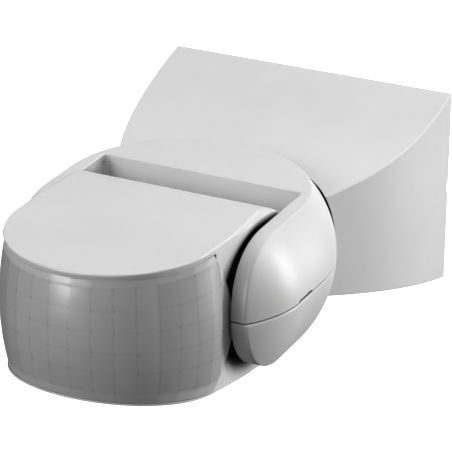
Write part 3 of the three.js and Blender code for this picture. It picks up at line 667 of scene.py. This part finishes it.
def base_top(y):
    """Straight near the wall, then a hollow sweep down to the yoke."""
    line = BASE_HIGH + TOP_SLOPE * max(y, SWEEP_START)
    if y >= SWEEP_START:
        return line
    height, start = (-math.sqrt(SWEEP_R**2 - (v - SWEEP_Y) ** 2) for v in (y, SWEEP_START))
    return line + height - start


def base_bottom(y):
    return -BASE_HIGH - BOTTOM_SLOPE * y


def base_ring(y, inset, corner):
    """Upright section of the base with rounded corners."""
    w, t, b = base_half_width(y) - inset, base_top(y) - inset, base_bottom(y) + inset
    c = corner
    corners = ((w - c, t - c, 90), (w - c, b + c, 0), (c - w, b + c, -90), (c - w, t - c, -180))
    ring = []
    for cx, cz, start in corners:
        for a in np.linspace(0, 90, 7):
            r = math.radians(start - a)
            ring.append((cx + c * math.cos(r), y, cz + c * math.sin(r)))
    return np.array(ring)


def base_form(inset, rear, corner):
    """The base's block, to behind the wall plane by rear, or with a rolled rim if rear is 0."""
    rings = [base_ring(y, inset, corner) for y in np.linspace(-58, -0.35, 60)]
    if rear > 0:
        wall = base_ring(0, inset, corner)
        rings += [wall, wall + np.array((0, rear, 0))]
    else:
        rings += [base_ring(-0.1, inset + 0.06, corner), base_ring(0, inset + 0.22, corner)]
    return stack("base", rings)


def barrel(growth):
    """The yoke's barrel as a whole round, grown on all sides."""
    form = Form(-growth, 0.0, 0.0, 0.0)
    rings = []
    for z in np.linspace(-form.half, form.half, 41):
        r = form.out(abs(z))
        ring = [(r * math.cos(a), r * math.sin(a) + PAN_Y, z + PIVOT_Z) for a in circle(180)]
        rings.append(np.array(ring))
    return stack("barrel", rings)


def build_base():
    """Hollow shell, open towards the wall, with a hollow front that the yoke's barrel turns in."""
    shell = cut(base_form(0.0, 0, 0.45), barrel(NOSE_GAP))
    hollow = cut(base_form(BASE_WALL, 1, 1.0), barrel(NOSE_GAP + 2.4))
    mouth = cut(base_form(MOUTH_INSET, 1, 0.7), block(-50, 50, -60, MOUTH_FROM, -40, 40))
    cut(shell, hollow, mouth)
    nose = PAN_Y + MID_R + NOSE_GAP + 0.2
    join(shell, rod("y", COLLAR_R, nose + 1, nose + 4.4, 0, PIVOT_Z))
    for s, _ in SIDES:
        at = (s * LID_SCREW_X, LID_SCREW_Y)
        join(shell, rod("z", LID_BOSS_R, base_bottom(LID_SCREW_Y) + 0.8, -18.7, *at))
        cut(shell, rod("z", LID_SCREW_R, -40, 0, *at), rod("z", LID_HEAD_R, -40, -20.6, *at))
        rim_x = (s * BASE_HALF - 3, s * BASE_HALF + 3)
        cut(shell, block(*rim_x, -1, 1, -NOTCH_HALF, NOTCH_HALF))
    cut(shell, rod("y", STUB_R, -50, 0, 0, PIVOT_Z))
    soften(shell, 0.28, 2, 40)
    look = LOOKS["housing"]
    place(shell, "base_shell", "base", look, stands_for=("base_housing",))


# ---- Head, about the tilt axis ------------------------------------------------------------------
UNDER_Z, UNDER_SLOPE, UNDER_CURVE = -17.0, 0.17, 0.00115  # underside, from the front backwards
FLAT_END = 2  # the underside's curve stops here
FLARE, FLARE_FROM, FLARE_SPAN = 0.75, 12, 8.44  # the rear grows by FLARE towards the bottom
REAR_CORNER = 1.6
CHEEK_SLOPE, CHEEK_END = 0.045, 16.0  # how the cheeks spread behind the round front
CLEAR = 0.03  # cutters stand this far off a face that they follow
RECESS_WALL = 1.8
HUB_R, HUB_BORE = 7, 4.6  # round the pivots
LEDGE_R, LENS_SEAT_Y = 23.1, AXIS_Y - 0.6  # wall behind the lens, and where the lens's seat starts
LENS_TOP = TOP + CROWN - RIM
PAST = 41  # cutters run at least this far, past the head on every side


def head_bottom(y):
    back = y - AXIS_Y
    return UNDER_Z - UNDER_SLOPE * back + UNDER_CURVE * back**2


def head_half(y):
    """Half width: the cheeks spread a little towards the rear."""
    return SIDE_X + CHEEK_SLOPE * min(CHEEK_END, max(0.0, y - AXIS_Y))


def head_top(y):
    return TOP + CROWN * smooth_step((-2 - y) / 24)


def side_fillet(y):
    """Radius of the top edge, which is sharper round the front."""
    return 0.4 + 1.6 * smooth_step((y - AXIS_Y - 4) / 24)


def rim_lean(below_top):
    """How far the rim over the lens leans in."""
    return 0.2 * smooth_step((below_top - 0.5) / 0.8) if 0.5 < below_top < 6 else 0.0


def head_ring(drop, t=None):
    """One loop round the head. drop is the angle round the top fillet; t runs down the walls."""
    big = side_fillet(30)
    corner = REAR_CORNER
    sin, cos = math.sin(drop), math.cos(drop)

    def level(top, fillet, bottom):
        if t is None:
            return top - fillet * (1 - cos)
        return (top - fillet) + (bottom - (top - fillet)) * t

    def point(x, y, nx, ny, fillet):
        """x, y on the outline; nx, ny its outward normal."""
        inset = fillet * (1 - sin)
        z = level(head_top(y), fillet, head_bottom(min(y, FLAT_END)))
        if t is not None and y < AXIS_Y:
            inset += rim_lean(head_top(y) - z)
        return (x - nx * inset, y - ny * inset, z)

    z_rear = level(TOP, big, head_bottom(FLAT_END))
    radius = REAR_R + FLARE * max(0.0, (-z_rear - FLARE_FROM) / FLARE_SPAN)
    y_rear = math.sqrt(max(0.0, radius**2 - z_rear**2))
    width = head_half(y_rear)
    path = [(s * (width - big - corner), y_rear, z_rear) for s in np.linspace(0, 1, 8)]
    edge = width - big * (1 - sin) - corner
    path.append((edge, y_rear, z_rear))
    for a in np.linspace(0, QUARTER, 7)[1:]:
        path.append((edge + corner * math.sin(a), y_rear - corner * (1 - math.cos(a)), z_rear))
    for s in np.linspace(0, 1, 34)[1:]:
        y = (y_rear - corner) + (AXIS_Y - (y_rear - corner)) * s
        path.append(point(head_half(y), y, 1, 0, side_fillet(y)))
    for a in np.linspace(QUARTER, 0, 49)[1:]:
        x, y = SIDE_X * math.sin(a), AXIS_Y - FRONT_R * math.cos(a)
        path.append(point(x, y, math.sin(a), -math.cos(a), side_fillet(y)))
    return np.array(mirrored(path))


def head_outside():
    rings = [head_ring(a) for a in np.linspace(0, QUARTER, 10)]
    down = np.linspace(0, 1, 30)[1:]
    rings += [head_ring(QUARTER, (1 - math.cos(math.pi * s)) / 2) for s in down]
    return stack("head", rings)


def head_plan(front, inset):
    """Plan of the head's inside, with a front of its own radius."""
    side = [(head_half(y) - inset, y) for y in (21.0, AXIS_Y + 22, AXIS_Y)]
    arc = [(front * math.sin(a), AXIS_Y - front * math.cos(a)) for a in np.linspace(QUARTER, 0, 49)]
    half = side + arc
    return half + [(-x, y) for x, y in reversed(half[:-1])]


def under_band(lo, hi):
    """Band across the front, from lo above the underside's curve up to the height hi."""
    rear = 10
    ys = np.linspace(AXIS_Y - FRONT_R - 3, rear, 40)
    outline = [(y, head_bottom(y) + lo) for y in ys] + [(rear, hi), (ys[0], hi)]
    return prism("x", outline, -PAST, PAST)


def head_room():
    """The room inside the head's shell."""
    radius, rear = REAR_R - SHELL, 4
    meet = math.asin(-math.sqrt(radius**2 - rear**2) / radius)
    front = AXIS_Y - FRONT_R - 3
    turns = np.linspace(meet, math.radians(83), 48)
    arc = [(radius * math.cos(a), radius * math.sin(a)) for a in turns]
    side = [(front, -30), (rear, -30), *arc, (front, TOP - 1.8)]
    room = both(prism("z", head_plan(21.9, SHELL), -PAST, PAST), prism("x", side, -PAST, PAST))
    for s, _ in SIDES:
        wall_in, wall_r = RECESS_FLOOR - RECESS_WALL, RECESS_R + RECESS_WALL
        cut(room, side_rod(s, wall_r, wall_in, PAST + 1, RECESS_Y, RECESS_Z, 96))
    return room


def recess_oval(radius, sides):
    """Outline of the cheek recess at one radius, as y and z."""
    tall = RECESS_OVAL * radius
    return [(RECESS_Y + radius * math.cos(a), RECESS_Z + tall * math.sin(a)) for a in circle(sides)]


def dish(side):
    """Cutter for the round recess in a cheek, which the surface rolls down into."""
    rings = []
    for turn in np.linspace(QUARTER, 0.03, 16):
        ring = []
        for y, z in recess_oval(ROLL_RIM - ROLL * math.sin(turn), 144):
            rise = (head_half(y) + CLEAR - RECESS_FLOOR) * math.cos(turn)
            ring.append((side * (RECESS_FLOOR + rise), y, z))
        rings.append(np.array(ring))
    rings.append(np.array([(side * PAST, y, z) for y, z in recess_oval(ROLL_RIM + 1, 144)]))
    return stack("dish", rings)


def ahead_of(y):
    """Everything in front of y."""
    return block(-PAST, PAST, -2 * PAST, y, -PAST, PAST)


def build_head():
    """The head's shell, open underneath, with a window behind the lens."""
    shell = cut(head_outside(), head_room())
    seat = both(under_band(LOW_RIM, LENS_TOP), ahead_of(LENS_SEAT_Y))
    cut(seat, rod("z", LEDGE_R, -PAST, PAST, 0, AXIS_Y, 128))
    window = both(under_band(LOW_RIM + 2, LENS_TOP - 1.4), ahead_of(AXIS_Y - 3.5))
    cut(shell, seat, window)
    for s, _ in SIDES:
        notch = side_block(s, 24.7, PAST, AXIS_Y - 0.7, AXIS_Y + 1.0, TOP - 4.6, LENS_TOP)
        cut(shell, dish(s), notch)
        join(shell, side_rod(s, HUB_R, 22, 26.2))
        cut(shell, side_rod(s, HUB_BORE, 20, PAST))
    soften(shell, 0.3, 2, 40)
    place(shell, "head_body", "head", LOOKS["head"], HEAD_AT, ("head_shell",))


def build_shade_rings():
    """Soft-edged black rubber ring on the floor of each cheek recess, a dark disc put where the
    recess floor lies in shade: painted shade.
    """
    for s, side in SIDES:
        lo, hi = sorted((s * 23.1, s * 23.8))
        disc = prism("x", recess_oval(RING_R, 128), lo, hi)
        bore = prism("x", recess_oval(RING_BORE, 128), lo - 1, hi + 1)
        ring = soften(cut(disc, bore), 0.25)
        # Painted shade: the piece keeps the frame's ring name but is a dark disc where the recess
        # floor is shaded
        name, stands_for = f"dust_ring_{side}_shade_disc", (f"dust_ring_{side}",)
        place(ring, name, "head", LOOKS["seal_rubber"], HEAD_AT, stands_for)


# ---- Lens, about the tilt axis ------------------------------------------------------------------
WRAP = 0.3  # part of a step past the front's quarter turn that the ends run back over
WRAP_LONG, WRAP_WIDEST = 9.1, 0.4  # how far back they reach, and at which height
GAP_X, GAP_FROM = 26.6, 4  # half width that clears the arms, and how far back that starts
FACET_DEPTH = 0.55  # 1 would make every column flat
FACET_END, SHOULDER_START = 1.37, 1.05  # angles in radians round the front
UNROLL_R = 27  # barrel radius that carries the column width on along the cheeks


def lens_height(t, y):
    low, high = head_bottom(y) + LOW_RIM + 0.1, LENS_TOP - 0.05
    return low + (high - low) * t


def lens_radius(angle, t):
    """Barrel radius at a height t up the lens, with a slightly flat face across each column."""
    reach = LENS_WIDEST if t < LENS_WIDEST else 1 - LENS_WIDEST
    bulge = (LENS_MID - LENS_EDGE) * max(0.0, 1 - ((LENS_WIDEST - t) / reach) ** 2)
    part = (angle / COLUMN + 0.5) % 1.0
    sag = LENS_MID * (1 / math.cos((part - 0.5) * COLUMN) - 1 / math.cos(COLUMN / 2))
    facet = FACET_DEPTH * sag * (1 - smooth_step((abs(angle) - FACET_END) / 0.19))
    shoulder = 0.5 * smooth_step((abs(angle) - SHOULDER_START) / 0.5) * abs(2 * t - 1) ** 4
    return LENS_EDGE + bulge + shoulder + facet


def wrap_reach(t):
    """How far the lens runs back over the cheek at height t."""
    below = t < WRAP_WIDEST
    away = abs(t - WRAP_WIDEST) / (WRAP_WIDEST if below else 1 - WRAP_WIDEST)
    return WRAP_LONG * max(0.0, 1 - away ** (2 if below else 1.7))


def lens_point(step, t, depth):
    """step runs -1 to 1 round the front and on past it along each cheek."""
    side = math.copysign(1, step)
    angle = side * min(1.0, abs(step)) * QUARTER
    radius = lens_radius(angle, t) - depth
    if abs(step) <= 1:
        x, y = radius * math.sin(angle), AXIS_Y - radius * math.cos(angle)
    else:
        s = (abs(step) - 1) / WRAP
        y = AXIS_Y + wrap_reach(t) * s
        out = head_half(y) + (radius + depth - SIDE_X) * (1 - s * s)
        x = side * (min(out, GAP_X + 0.3 * max(0.0, AXIS_Y + GAP_FROM - y)) - depth)
    return (x, y, lens_height(t, min(y, AXIS_Y)))


def lens_bed():
    """Cutter of the head's own width behind its round front, so the lens lies on the cheeks."""
    half = [(SIDE_X + CLEAR, AXIS_Y - 0.5)]
    half += [(head_half(y) + CLEAR, y) for y in (AXIS_Y, -0.2, 20)]
    return prism("z", half + [(-x, y) for x, y in reversed(half)], -PAST, PAST)


def number_cells(lens):
    """Adds the uv layer that counts columns across the lens and rows down it."""
    layer = lens.data.uv_layers.new(name="cells")
    for loop in lens.data.loops:
        p = lens.data.vertices[loop.vertex_index].co / MM
        x, y, z = p.x - HEAD_X, p.y - HEAD_Y, p.z - PIVOT_Z
        if y > AXIS_Y:
            angle = math.copysign(QUARTER + (y - AXIS_Y) / UNROLL_R, x)
        else:
            angle = math.atan2(x, max(AXIS_Y - y, 0.001))
        low = lens_height(0, min(y, AXIS_Y))
        down = (LENS_TOP - z) / (LENS_TOP - low)
        layer.data[loop.index].uv = (angle / COLUMN + FRONT_COLUMN, (down - TOP_BAND) / ROW)


def build_lens():
    wraps = (np.linspace(-1 - WRAP, -1, 15)[:-1], np.linspace(1, 1 + WRAP, 15)[1:])
    steps = np.concatenate([wraps[0], np.linspace(-1, 1, 225), wraps[1]])
    heights = np.linspace(0, 1, 45)
    rings = []
    for step in steps:
        outer = [lens_point(step, t, 0) for t in heights]
        inner = [lens_point(step, t, LENS_WALL) for t in reversed(heights)]
        rings.append(np.array(outer + inner))
    lens = cut(stack("lens", rings), lens_bed())
    place(lens, "lens_barrel", "head", LOOKS["lens"], HEAD_AT, ("lens",))
    number_cells(lens)


# ---- Studio -------------------------------------------------------------------------------------
WORLD_LOW, WORLD_HIGH = 0.08, 0.15
AIM = (0, -0.07, 0)
# Name, place, size and power in watts; the powers were fitted to the tones in the photograph
LIGHTS = (
    ("top", (0.0, -0.3, 1.2), (1.0, 1.0), 5.26),
    ("top_rear", (0.0, 0.8, 0.9), (0.8, 0.8), 8.74),
    ("right_rear", (1.0, 0.72, 0.1), (0.2, 0.7), 15.77),
    ("right_mid", (1.1, 0.2, 0.5), (0.9, 0.9), 1.42),
    ("left", (-1.1, -0.3, 0.4), (0.7, 0.7), 1.25),
    ("front_left", (-0.5, -1.0, 0.5), (0.5, 0.5), 7.2),
    ("right_low", (0.62, 0.67, -0.25), (0.3, 0.3), 0.68),
    ("gloss", (-0.36, -1.15, 0.08), (0.14, 0.3), 9.0),
)
GLOSS_ONLY = ("gloss",)  # seen in reflections, and lights nothing
FLOOR_HALF, FLOOR_Z = 9, -0.75


def add_area_light(name, at, size, power):
    data = bpy.data.lights.new(name, "AREA")
    data.shape = "RECTANGLE"
    data.size, data.size_y = size
    data.energy = power
    lamp = bpy.data.objects.new(name, data)
    lamp.location = at
    lamp.rotation_euler = (Vector(AIM) - Vector(at)).to_track_quat("-Z", "Y").to_euler()
    lamp.visible_diffuse = name not in GLOSS_ONLY
    bpy.context.scene.collection.objects.link(lamp)


def build_world():
    """Dim surroundings, a little lighter above than below."""
    world = bpy.data.worlds.new("studio")
    bpy.context.scene.world = world
    world.use_nodes = True
    nodes, links = world.node_tree.nodes, world.node_tree.links
    coords = nodes.new("ShaderNodeTexCoord")
    split = nodes.new("ShaderNodeSeparateXYZ")
    ramp = nodes.new("ShaderNodeValToRGB")
    span = nodes.new("ShaderNodeMapRange")
    span.inputs["From Min"].default_value = -1
    links.new(coords.outputs["Generated"], split.inputs[0])
    links.new(split.outputs[2], span.inputs["Value"])
    links.new(span.outputs[0], ramp.inputs[0])
    stops = ((0.40, WORLD_LOW), (0.7, WORLD_HIGH))
    for element, (at, v) in zip(ramp.color_ramp.elements, stops):
        element.position, element.color = at, (v, v, v, 1)
    links.new(ramp.outputs[0], nodes["Background"].inputs[0])


def build_floor():
    """White paper that the object floats over. It throws no light back on the object."""
    h = FLOOR_HALF
    corners = [(x, y, FLOOR_Z) for x, y in ((-h, -h), (h, -h), (h, h), (-h, h))]
    floor = mesh_object("floor", corners, [(0, 1, 2, 3)])
    n = Nodes("floor_paper")
    n.feed("Base Color", n.ramp(n.noise(2, 2), list(zip(NOISE_CORE, (grey(0.93), grey(0.95))))))
    n.set(Roughness=0.9, Emission_Color=(1, 1, 1, 1), Emission_Strength=1.3)
    floor.data.materials.append(n.material)
    floor.visible_diffuse = False
    floor.visible_glossy = False


def build_studio():
    build_world()
    for light in LIGHTS:
        add_area_light(*light)
    build_floor()
    bpy.context.scene.view_settings.view_transform = "Standard"


def dress_cad_nodes():
    """Gives every frame solid its material, those that a finer piece stands for too."""
    slots = {s["node"]: s["material_slot"] for s in frame["record"]["subparts"]}
    for name, obj in frame["nodes"].items():
        look = LOOKS[slots[name]]
        if not obj.data.materials:
            obj.data.materials.append(look)
        for slot in obj.material_slots:
            slot.material = look


add_camera()
make_looks()
build_yoke()
build_base()
build_head()
build_shade_rings()
build_lens()
dress_cad_nodes()
build_studio()
